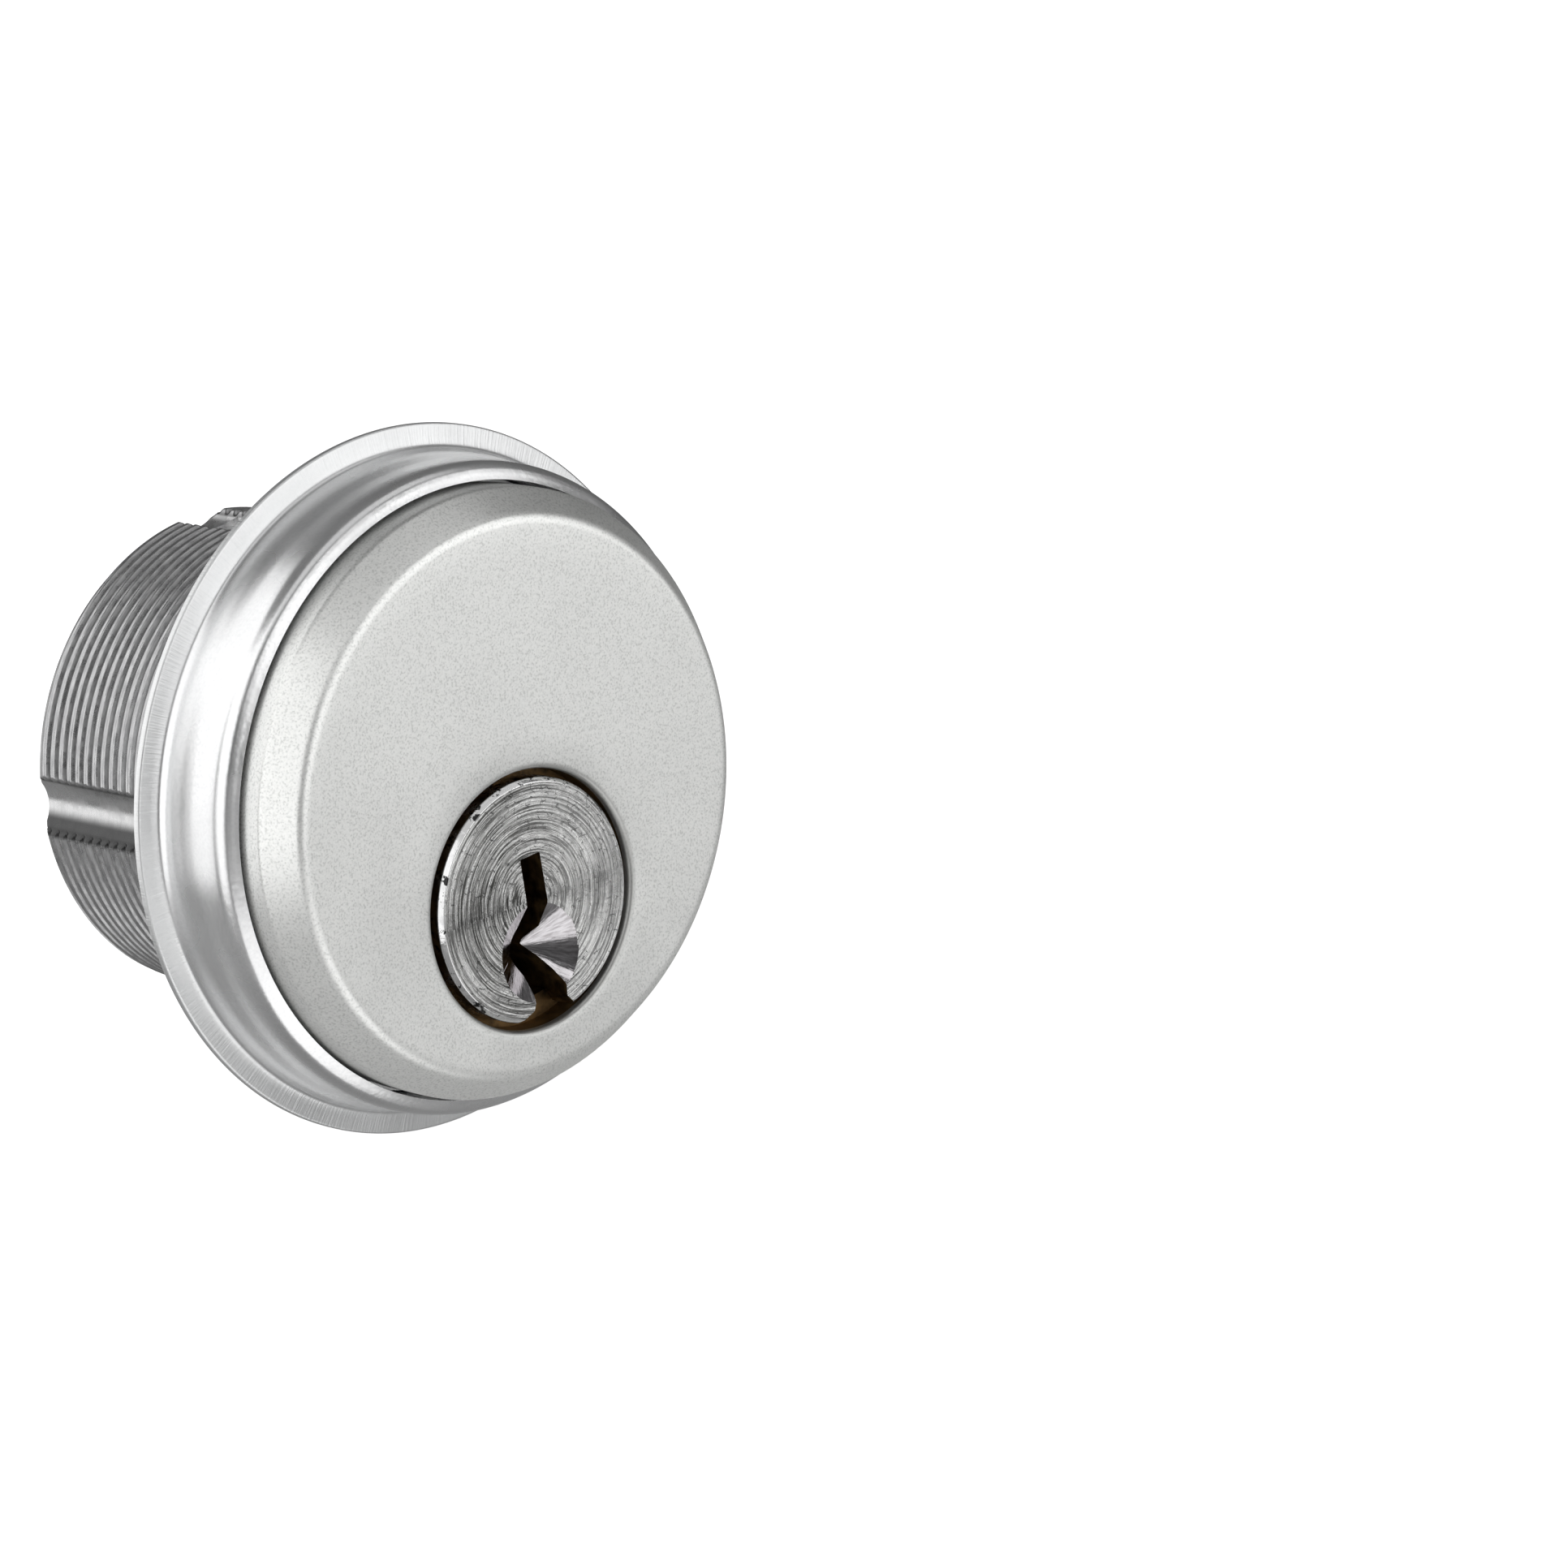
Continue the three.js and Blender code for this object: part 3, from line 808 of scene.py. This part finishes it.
def screw_hole_cutters(profile, steps, material):
    """One cutter on each cam screw's axis, from a (radius, y) profile."""
    vertices, faces = turned(profile, steps, PLUG_Z)
    return [add_piece("screw_hole_cutter", vertices + (x, 0, 0), faces, [material])
            for x in SCREW_XS]


def plug_body():
    """The plug before it is cut. Its face is dished in two fine turned steps."""
    rim = plug_high.x
    face, tail = plug_low.y, plug_high.y
    dish, step, fine_line = 0.05 * MM, 0.07 * MM, 0.01 * MM
    inner_step, outer_step = 3.0 * MM, 4.58 * MM
    bevel, drop = 0.24 * MM, 0.3 * MM
    profile = rounded([
        (0, face + 3 * dish),
        (inner_step, face + 3 * dish, fine_line),
        (inner_step + step, face + 2 * dish, fine_line),
        (outer_step, face + 2 * dish, fine_line),
        (outer_step + step, face + dish, fine_line),
        (rim - bevel, face, 0.1 * MM),
        (rim, face + drop, 0.2 * MM),
        (rim, face + RIM_THICKNESS, 0.1 * MM),
        (PLUG_RADIUS, face + RIM_THICKNESS),
        (PLUG_RADIUS, tail, 0.15 * MM),
        (0, tail),
    ], 6)
    return add_piece("plug_fine", *turned(profile, 180, PLUG_Z), [CHROME, SHADED_BRASS, CONE])


def lead_in_cutter():
    """The cone that guides the key, below the plug's axis."""
    mouth = LEAD_IN_RADIUS * (1 + MM / LEAD_IN_DEPTH)
    cone = [(0, plug_low.y - MM), (mouth, plug_low.y - MM), (0, plug_low.y + LEAD_IN_DEPTH)]
    vertices, faces = turned(cone, 128, PLUG_Z - LEAD_IN_RADIUS)
    return add_piece("lead_in_cutter", vertices, faces, [CONE], SMOOTH_SHARP)


def chamber_cutter(y):
    """One pin chamber, from its floor up through the top of the plug."""
    floor = PLUG_Z + CHAMBER_FLOOR
    vertices, faces = turned([(0, floor), (CHAMBER_RADIUS, floor), (CHAMBER_RADIUS, MM),
                              (0, MM)], 32)
    return add_piece("chamber_cutter", upright(vertices, 0, y), faces, [SHADED_BRASS])


def plug():
    """The turning core, with its keyway, key lead-in, pin chambers and screw holes."""
    tail = plug_high.y
    hole_floor = tail - SCREW_HOLE_DEPTH
    hole = [(0, hole_floor), (SCREW_HOLE_RADIUS, hole_floor), (SCREW_HOLE_RADIUS, tail + MM),
            (0, tail + MM)]
    keyway = prism("keyway_cutter", keyway_outline(), plug_low.y - MM, tail + MM, [SHADED_BRASS])
    cutters = [keyway, lead_in_cutter()]
    cutters += [chamber_cutter(y) for y in PIN_YS]
    cutters += screw_hole_cutters(hole, 32, SHADED_BRASS)
    piece = plug_body()
    carve(piece, cutters, PLUG_SHARP)
    return seat(piece, "plug", "plug", "plug")


# ------------------------------------------------------------------ pins and springs


def key_pin(number):
    """A pin with a blunt point below and a slightly crowned top."""
    name = f"key_pin_{number}"
    low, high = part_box(name)
    radius = high.x
    point_radius, point_height = 0.5 * MM, 0.9 * MM
    crown_edge, crown_top = 0.25 * MM, 0.06 * MM
    profile = rounded([
        (0, low.z), (point_radius, low.z, 0.2 * MM), (radius, low.z + point_height, 0.15 * MM),
        (radius, high.z - crown_edge, 0.12 * MM), (radius / 2, high.z - crown_top, 0.3 * MM),
        (0, high.z),
    ])
    return standing_pin(name, profile)


def standing_pin(name, profile):
    """A brass pin from its (radius, z) profile, over the middle of its CAD solid."""
    low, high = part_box(name)
    vertices, faces = turned(profile, 48)
    piece = add_piece(f"{name}_fine", upright(vertices, 0, (low.y + high.y) / 2), faces, [BRASS])
    return seat(piece, name, "pin_brass", name)


def driver_pin(number):
    """A straight pin with a waist round its middle."""
    name = f"driver_pin_{number}"
    low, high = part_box(name)
    radius = high.x
    waist = radius - 0.12 * MM
    middle = (low.z + high.z) / 2
    waist_end, waist_start = 0.3 * MM, 0.5 * MM
    soft, fine = 0.2 * MM, 0.05 * MM
    profile = rounded([
        (0, low.z), (radius, low.z, soft), (radius, middle - waist_start, fine),
        (waist, middle - waist_end, fine), (waist, middle + waist_end, fine),
        (radius, middle + waist_start, fine), (radius, high.z, soft), (0, high.z),
    ])
    return standing_pin(name, profile)


def pin_spring(number):
    """A compression spring with closed ends."""
    low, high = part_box(f"pin_spring_{number}")
    wire = 0.16 * MM
    coil_radius = high.x - wire
    coils, steps = 9, 20
    closed = 0.75  # of a coil, flat at each end
    centre = (low + high) / 2
    bottom, top = low.z + wire, high.z - wire
    points = []
    for k in range(coils * steps + 1):
        share = k / (coils * steps)
        eased = np.clip((share * coils - closed) / (coils - 2 * closed), 0, 1)
        turn = 2 * math.pi * coils * share
        end_rise = wire * min(share * coils, 1) - wire * min((1 - share) * coils, 1)
        z = bottom + (top - bottom) * eased + end_rise * 0.5
        points.append((coil_radius * math.cos(turn), centre.y + coil_radius * math.sin(turn), z))
    vertices, faces = tube(points, wire, 10)
    vertices[:, 2] = np.clip(vertices[:, 2], low.z, high.z)
    piece = add_piece(f"pin_spring_{number}_fine", vertices, faces, [WIRE], SMOOTH_SHARP)
    seat(piece, "cylinder", "spring_steel", f"pin_spring_{number}")
    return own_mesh(piece)


# ------------------------------------------------------------------ trim collar and washer


def collar_outside():
    """The collar's outer surface from the flange to the lip, as (radius, y)."""
    flange = [(20.7, -0.49), (20.25, -0.56), (19.95, -0.66)]
    rise = [(19.78, -0.84), (19.68, -1.15), (19.62, -1.6), (19.55, -2.1), (19.47, -2.6),
            (19.41, -3.1)]
    ridge = [(19.39, -3.6), (19.39, -4.1), (19.38, -4.6), (19.34, -5.0)]
    turn_in = [(19.23, -5.34), (19.04, -5.58), (18.8, -5.74), (18.54, -5.88)]
    between = [(r * MM, y * MM) for r, y in flange + rise + ridge + turn_in]
    edge = (collar_high.x - 0.1 * MM, -0.43 * MM)
    lip = (18.36 * MM, collar_low.y + 0.02 * MM)
    return smooth_line([edge, *between, lip], 6)


def trim_collar():
    """The drawn ring round the head, with a floor behind the head and a thin flange."""
    outer, lip = collar_high.x, collar_low.y
    mouth, bore, hole = 18.32 * MM, 18.6 * MM, 14.9 * MM
    floor, flange_front = -1.0 * MM, -0.34 * MM
    fine, soft = 0.02 * MM, 0.08 * MM
    inside = rounded([
        (mouth + 0.02 * MM, lip, fine), (mouth, lip + 0.1 * MM, fine),
        (bore, floor, 0.15 * MM), (hole, floor, 0.1 * MM), (hole, 0, 0.1 * MM),
        (outer, 0, soft), (outer, flange_front, soft),
    ])
    profile = collar_outside() + inside
    piece = add_piece("trim_collar_fine", *turned(profile[::-1], 288), [COLLAR])
    return seat(piece, "collar", "trim_collar", "trim_collar")


def wave_washer():
    """A flat spring ring bent into three waves, with rounded edges."""
    inner, outer, thickness, waves = 15.3 * MM, washer_high.x, 0.5 * MM, 3
    middle = (washer_low.y + washer_high.y) / 2
    swing = (washer_high.y - washer_low.y - thickness) / 2
    half = thickness / 2
    soft = 0.2 * MM
    section = rounded([(inner, -half, soft), (outer, -half, soft), (outer, half, soft),
                       (inner, half, soft)])
    loops = []
    for angle in even_angles(216):
        wave = middle + swing * math.sin(waves * angle)
        loops.append(np.array([(r * math.cos(angle), wave + y, r * math.sin(angle))
                               for r, y in reversed(section)]))
    piece = add_piece("wave_washer_fine", *lofted(loops, True), [WIRE])
    seat(piece, "wave_washer", "spring_steel", "collar_spring")
    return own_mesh(piece)


# ------------------------------------------------------------------ cam and screws


def cam():
    """A tapered plate, round at both ends, with countersunk screw holes."""
    hub, tip = cam_high.x, 3.2 * MM
    tip_z = cam_high.z - tip
    lean = math.degrees(math.asin((hub - tip) / (tip_z - PLUG_Z)))
    outline = arc(0, PLUG_Z, hub, 180 - lean, 360 + lean, 72)
    outline += arc(0, tip_z, tip, lean, 180 - lean, 32)
    piece = prism("cam_fine", outline, cam_low.y, cam_high.y, [ZINC])
    bottom, top = cam_low.y - MM, cam_high.y + SCREW_HOLE_GAP
    hole = [(0, bottom), (SCREW_HOLE_RADIUS, bottom),
            (SCREW_HOLE_RADIUS, cam_high.y - SCREW_HEAD_HEIGHT),
            (SCREW_HEAD_RADIUS + 2 * SCREW_HOLE_GAP, top), (0, top)]
    carve(piece, screw_hole_cutters(hole, 48, ZINC))
    soften(piece, 0.12 * MM, 3)
    return seat(piece, "plug", "cam_steel", "cam")


def cam_screw(number):
    """A slotted countersunk screw. Its thread is rings, one to a pitch."""
    low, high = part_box(f"cam_screw_{number}")
    top = high.y
    head_low = top - SCREW_HEAD_HEIGHT
    pitch, root, fine, soft = 0.6 * MM, SCREW_RADIUS - 0.18 * MM, 0.04 * MM, 0.08 * MM
    tip_height = 0.3 * MM
    thread = []
    turns = int((head_low - low.y - tip_height - 0.1 * MM) / pitch)
    for k in range(turns):
        base = low.y + tip_height + k * pitch
        thread += [(root, base, fine), (SCREW_RADIUS, base + 0.5 * pitch, fine)]
    profile = rounded([
        (0, low.y), (SCREW_RADIUS - 0.3 * MM, low.y, 0.1 * MM), *thread,
        (root, head_low - 0.05 * MM, fine),
        (SCREW_RADIUS, head_low, fine),
        (SCREW_HEAD_RADIUS, top - 0.12 * MM, soft),
        (SCREW_HEAD_RADIUS - 0.1 * MM, top, soft), (0, top),
    ], 3)
    vertices, faces = turned(profile, 64, PLUG_Z)
    x = SCREW_XS[number - 1]
    piece = add_piece(f"cam_screw_{number}_fine", vertices + (x, 0, 0), faces, [ZINC])
    half, reach, slot_depth = 0.3 * MM, SCREW_HEAD_RADIUS + MM, 0.5 * MM
    slot = [(x - reach, PLUG_Z - half), (x + reach, PLUG_Z - half), (x + reach, PLUG_Z + half),
            (x - reach, PLUG_Z + half)]
    carve(piece, [prism("slot_cutter", slot, top - slot_depth, top + MM, [ZINC])])
    return seat(piece, "plug", "cam_steel", f"cam_screw_{number}")


cylinder_shell()
pin_chamber_cover()
plug()
for number in range(1, PIN_COUNT + 1):
    key_pin(number)
    driver_pin(number)
    pin_spring(number)
trim_collar()
wave_washer()
cam()
for number in range(1, len(SCREW_XS) + 1):
    cam_screw(number)

# ------------------------------------------------------------------ studio

# The camera stands to the face's left. The unit leans about its own axis in the view, so the
# camera and the lights lean instead of it.
VIEW_AZIMUTH = -44.0
VIEW_ELEVATION = 9.7
UNIT_LEAN = math.radians(8.0)
CAMERA_DISTANCE = 0.4
SENSOR = 36.0
FOCAL_LENGTH = 155.0
# How far the unit stands to the right of the middle of the view, and above it.
ASIDE = -21.9 * MM
ALOFT = 0.3 * MM
LEAN = Matrix.Rotation(UNIT_LEAN, 4, "Y")

FLOOR_REACH = 3.0
FLOOR_GAP = 0.2 * MM
FLOOR_GLOW = 0.75

LIGHT_DISTANCE = 1.0
# The lights: name, azimuth, elevation, the angles they fill, and brightness.
LIGHTS = [
    ("left", -81, 10, 64, 80, 1.05),
    ("left behind", -148, 12, 52, 68, 1.02),
    ("right front", 23, 16, 76, 50, 1.1),
    ("overhead", 0, 68, 70, 30, 0.45),
    ("low front", -2, -43, 42, 44, 0.88),
]
# The sky's grey from straight below, 0, to straight above, 1.
SKY = [(0.0, 0.2), (0.25, 0.28), (0.36, 0.18), (0.5, 0.1), (0.65, 0.11), (1.0, 0.16)]


def plain_floor():
    """Pale and evenly lit. Polished metal shows the studio round it in place of the floor."""
    far = FLOOR_REACH
    z = cad_box[0].z - FLOOR_GAP
    corners = [(-far, -far, z), (far, -far, z), (far, far, z), (-far, far, z)]
    look = Look("floor", (0.9, 0.9, 0.9), 0.0, 0.9)
    look.shader.inputs["Emission Color"].default_value = (1, 1, 1, 1)
    look.shader.inputs["Emission Strength"].default_value = FLOOR_GLOW
    floor = add_piece("floor", corners, [(0, 1, 2, 3)], [look.material])
    floor.visible_glossy = False
    floor.visible_shadow = False


def bearing(azimuth, elevation):
    """A direction from the object, from angles in degrees, before the lean. Azimuth 0 is
    straight out of the lock's face and 90 is to its right."""
    turn, rise = math.radians(azimuth), math.radians(elevation)
    return Vector((math.sin(turn) * math.cos(rise), -math.cos(turn) * math.cos(rise),
                   math.sin(rise)))


def softbox(name, azimuth, elevation, width, height, brightness):
    """A soft light facing the object. Width and height are the angles it fills."""
    light = bpy.data.lights.new(name, "AREA")
    light.shape = "RECTANGLE"
    light.size = 2 * LIGHT_DISTANCE * math.tan(math.radians(width / 2))
    light.size_y = 2 * LIGHT_DISTANCE * math.tan(math.radians(height / 2))
    light.energy = brightness * math.pi * light.size * light.size_y
    direction = LEAN @ bearing(azimuth, elevation)
    lamp = bpy.data.objects.new(name, light)
    lamp.location = direction * LIGHT_DISTANCE
    lamp.rotation_mode = "QUATERNION"
    lamp.rotation_quaternion = (-direction).to_track_quat("-Z", "Y")
    lamp.visible_camera = False
    bpy.context.scene.collection.objects.link(lamp)


def soft_sky():
    """Dim even light from all round: grey below, darker at eye level, grey overhead."""
    world = bpy.data.worlds.new("soft sky")
    world.use_nodes = True
    tree = world.node_tree
    background = tree.nodes["Background"]
    place = tree.nodes.new("ShaderNodeTexCoord")
    split = tree.nodes.new("ShaderNodeSeparateXYZ")
    height = tree.nodes.new("ShaderNodeMapRange")
    height.inputs["From Min"].default_value = -1.0
    ramp = tree.nodes.new("ShaderNodeValToRGB")
    tree.links.new(place.outputs["Generated"], split.inputs["Vector"])
    tree.links.new(split.outputs["Z"], height.inputs["Value"])
    tree.links.new(height.outputs["Result"], ramp.inputs["Fac"])
    tree.links.new(ramp.outputs["Color"], background.inputs["Color"])
    set_stops(ramp.color_ramp, [(position, (grey, grey, grey)) for position, grey in SKY])
    bpy.context.scene.world = world


def camera():
    """Looks at the face from its left and a little above. The unit stands left of the middle
    of the frame."""
    data = bpy.data.cameras.new("camera")
    data.sensor_width = SENSOR
    data.lens = FOCAL_LENGTH
    data.clip_start, data.clip_end = 0.01, 10
    back = bearing(VIEW_AZIMUTH, VIEW_ELEVATION)
    right = bearing(VIEW_AZIMUTH + 90, 0)
    up = back.cross(right)
    place = back * CAMERA_DISTANCE - right * ASIDE - up * ALOFT
    upright_view = Matrix((right, up, back)).transposed().to_4x4()
    upright_view.translation = place
    viewer = bpy.data.objects.new("camera", data)
    viewer.matrix_world = LEAN @ upright_view
    bpy.context.scene.collection.objects.link(viewer)
    bpy.context.scene.camera = viewer


plain_floor()
soft_sky()
for light in LIGHTS:
    softbox(*light)
camera()
bpy.context.scene.view_settings.view_transform = "Standard"
